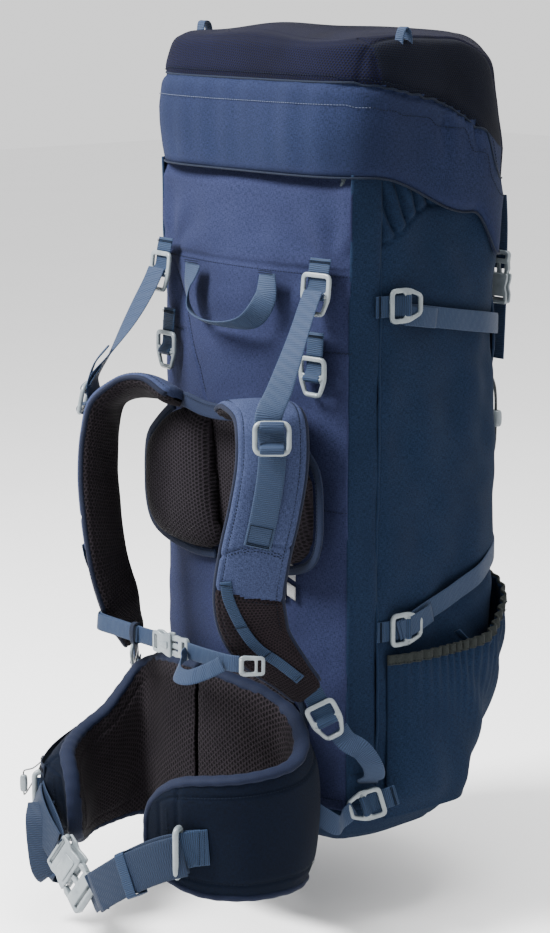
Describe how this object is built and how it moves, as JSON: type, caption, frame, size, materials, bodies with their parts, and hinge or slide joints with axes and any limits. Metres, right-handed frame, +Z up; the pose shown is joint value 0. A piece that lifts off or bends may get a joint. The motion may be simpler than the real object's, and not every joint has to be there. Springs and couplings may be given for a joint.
{
  "type": "travel backpack",
  "caption": "Tall panelled trekking pack with hinged lid, padded sliding shoulder harness, wrap-round hip belt, side pockets and adjustable webbing straps.",
  "frame": {"origin": "the point that the haul loop hangs from, at the loop's lowest middle", "axes": "+Z up the bag, +Y away from the wearer, +X to the right seen looking along +Y"},
  "size_m": [0.36, 0.4863, 0.8239],
  "materials": {
    "body_fabric": "woven polyester, matt, heathered navy",
    "side_fabric": "woven polyester, matt, darker navy",
    "crown_mesh": "honeycomb-textured fabric, near black",
    "spacer_mesh": "three-dimensional spacer mesh, dark brown-grey",
    "harness_fabric": "twill, matt navy",
    "webbing": "flat woven webbing, mid blue",
    "belt_webbing": "flat woven webbing, dark blue",
    "hardware": "moulded acetal, satin pale grey",
    "lining": "thin coated nylon, grey",
    "stay": "bare anodised bar",
    "shock_cord": "braided shock cord, black with pale flecks"
  },
  "bodies": {
    "bag": {"back_panel": "body_fabric", "left_side_panel": "side_fabric", "right_side_panel": "side_fabric", "front_panel": "side_fabric", "base_panel": "side_fabric", "snow_collar": "lining", "frame_stay": "stay", "lumbar_pad": "spacer_mesh", "left_side_pocket": "side_fabric", "right_side_pocket": "side_fabric", "front_pocket": "side_fabric", "left_upper_compression_strap": "webbing", "left_lower_compression_strap": "webbing", "right_upper_compression_strap": "webbing", "right_lower_compression_strap": "webbing", "left_lifter_buckle": "hardware", "right_lifter_buckle": "hardware", "left_lid_socket": "hardware", "right_lid_socket": "hardware", "gear_cord": "shock_cord", "left_adjuster_webbing": "webbing", "right_adjuster_webbing": "webbing"},
    "lid": {"lid": "crown_mesh", "left_lid_strap": "webbing", "right_lid_strap": "webbing"},
    "lid_zip": {"lid_zip_pull": "hardware"},
    "haul_loop": {"haul_loop": "webbing"},
    "cord_lock": {"gear_cord_lock": "hardware"},
    "harness": {"left_shoulder_strap": "harness_fabric", "right_shoulder_strap": "harness_fabric", "left_yoke_pad": "spacer_mesh", "right_yoke_pad": "spacer_mesh", "left_lifter_webbing": "webbing", "right_lifter_webbing": "webbing", "left_lifter_ring": "hardware", "right_lifter_ring": "hardware"},
    "left_slider": {"left_sternum_slider": "hardware"},
    "right_slider": {"right_sternum_slider": "hardware"},
    "left_sternum": {"left_sternum_half": "hardware"},
    "right_sternum": {"right_sternum_half": "hardware"},
    "left_belt": {"left_hip_wing": "harness_fabric", "left_belt_ring": "hardware", "left_belt_webbing": "belt_webbing", "belt_socket": "hardware"},
    "right_belt": {"right_hip_wing": "harness_fabric", "right_belt_ring": "hardware", "right_belt_webbing": "belt_webbing", "belt_plug": "hardware"},
    "belt_zip": {"belt_zip_pull": "hardware"},
    "left_lid_stabilizer_buckle": {"left_lid_stabilizer_buckle": "hardware"},
    "right_lid_stabilizer_buckle": {"right_lid_stabilizer_buckle": "hardware"},
    "left_upper_compression_buckle": {"left_upper_compression_buckle": "hardware"},
    "right_upper_compression_buckle": {"right_upper_compression_buckle": "hardware"},
    "left_lower_compression_buckle": {"left_lower_compression_buckle": "hardware"},
    "right_lower_compression_buckle": {"right_lower_compression_buckle": "hardware"},
    "left_stabilizer_buckle": {"left_stabilizer_buckle": "hardware"},
    "right_stabilizer_buckle": {"right_stabilizer_buckle": "hardware"},
    "left_strap_adjuster": {"left_strap_adjuster": "hardware"},
    "right_strap_adjuster": {"right_strap_adjuster": "hardware"}
  },
  "joints": [
    {"name": "lid_hinge", "type": "hinge", "parent": "bag", "child": "lid", "pos_m": [0, 0.039, 0.144], "axis": [1, 0, 0], "range_deg": [0, 105]},
    {"name": "lid_zip_slide", "type": "slide", "parent": "lid", "child": "lid_zip", "axis": [-1, 0, 0], "range_m": [0, 0.128]},
    {"name": "haul_loop_swing", "type": "hinge", "parent": "bag", "child": "haul_loop", "pos_m": [0, 0.016, 0.053], "axis": [-1, 0, 0], "range_deg": [0, 140]},
    {"name": "cord_lock_slide", "type": "slide", "parent": "bag", "child": "cord_lock", "axis": [0, 0, 1], "range_m": [-0.012, 0.012]},
    {"name": "harness_slide", "type": "slide", "parent": "bag", "child": "harness", "axis": [0, 0, 1], "range_m": [0, 0.04]},
    {"name": "left_sternum_slide", "type": "slide", "parent": "harness", "child": "left_slider", "axis": [0, -0.3312, 0.9435], "range_m": [-0.012, 0.025]},
    {"name": "right_sternum_slide", "type": "slide", "parent": "harness", "child": "right_slider", "axis": [0, -0.3312, 0.9435], "range_m": [-0.012, 0.025]},
    {"name": "left_sternum_swing", "type": "hinge", "parent": "left_slider", "child": "left_sternum", "pos_m": [-0.108, -0.07, -0.297], "axis": [0, 0, -1], "range_deg": [0, 60]},
    {"name": "right_sternum_swing", "type": "hinge", "parent": "right_slider", "child": "right_sternum", "pos_m": [0.108, -0.07, -0.297], "axis": [0, 0, 1], "range_deg": [0, 60]},
    {"name": "left_belt_swing", "type": "hinge", "parent": "bag", "child": "left_belt", "pos_m": [-0.103, 0, -0.429], "axis": [0, 0, -1], "range_deg": [0, 16]},
    {"name": "right_belt_swing", "type": "hinge", "parent": "bag", "child": "right_belt", "pos_m": [0.103, 0, -0.429], "axis": [0, 0, 1], "range_deg": [0, 16]},
    {"name": "belt_zip_slide", "type": "slide", "parent": "left_belt", "child": "belt_zip", "axis": [-0.3, 0.9539, 0], "range_m": [0, 0.06]},
    {"name": "left_lid_stabilizer_buckle_tilt", "type": "hinge", "parent": "bag", "child": "left_lid_stabilizer_buckle", "pos_m": [-0.107, 0.0265, -0.021], "axis": [-0.995, 0.0995, 0], "range_deg": [0, 14]},
    {"name": "right_lid_stabilizer_buckle_tilt", "type": "hinge", "parent": "bag", "child": "right_lid_stabilizer_buckle", "pos_m": [0.107, 0.0265, -0.021], "axis": [-0.995, -0.0995, 0], "range_deg": [0, 14]},
    {"name": "left_upper_compression_buckle_tilt", "type": "hinge", "parent": "bag", "child": "left_upper_compression_buckle", "pos_m": [-0.14711, 0.08309, 0.024], "axis": [0, 0, 1], "range_deg": [0, 35]},
    {"name": "right_upper_compression_buckle_tilt", "type": "hinge", "parent": "bag", "child": "right_upper_compression_buckle", "pos_m": [0.14711, 0.08309, 0.024], "axis": [0, 0, -1], "range_deg": [0, 35]},
    {"name": "left_lower_compression_buckle_tilt", "type": "hinge", "parent": "bag", "child": "left_lower_compression_buckle", "pos_m": [-0.14411, 0.09109, -0.287], "axis": [0, 0, 1], "range_deg": [0, 35]},
    {"name": "right_lower_compression_buckle_tilt", "type": "hinge", "parent": "bag", "child": "right_lower_compression_buckle", "pos_m": [0.14411, 0.09109, -0.287], "axis": [0, 0, -1], "range_deg": [0, 35]},
    {"name": "left_stabilizer_buckle_tilt", "type": "hinge", "parent": "bag", "child": "left_stabilizer_buckle", "pos_m": [-0.15737, 0.07183, -0.44698], "axis": [-0.1675, 0.2233, -0.9602], "range_deg": [0, 35]},
    {"name": "right_stabilizer_buckle_tilt", "type": "hinge", "parent": "bag", "child": "right_stabilizer_buckle", "pos_m": [0.15737, 0.07183, -0.44698], "axis": [-0.1675, -0.2233, 0.9602], "range_deg": [0, 35]},
    {"name": "left_strap_adjuster_tilt", "type": "hinge", "parent": "harness", "child": "left_strap_adjuster", "pos_m": [-0.13828, 0.00549, -0.34209], "axis": [-0.5876, 0.6685, 0.4558], "range_deg": [0, 35]},
    {"name": "right_strap_adjuster_tilt", "type": "hinge", "parent": "harness", "child": "right_strap_adjuster", "pos_m": [0.13828, 0.00549, -0.34209], "axis": [-0.5876, -0.6685, -0.4558], "range_deg": [0, 35]}
  ],
  "couplings": [
    {"joint": "left_sternum_slide", "follows": "right_sternum_slide", "ratio": 1}
  ]
}
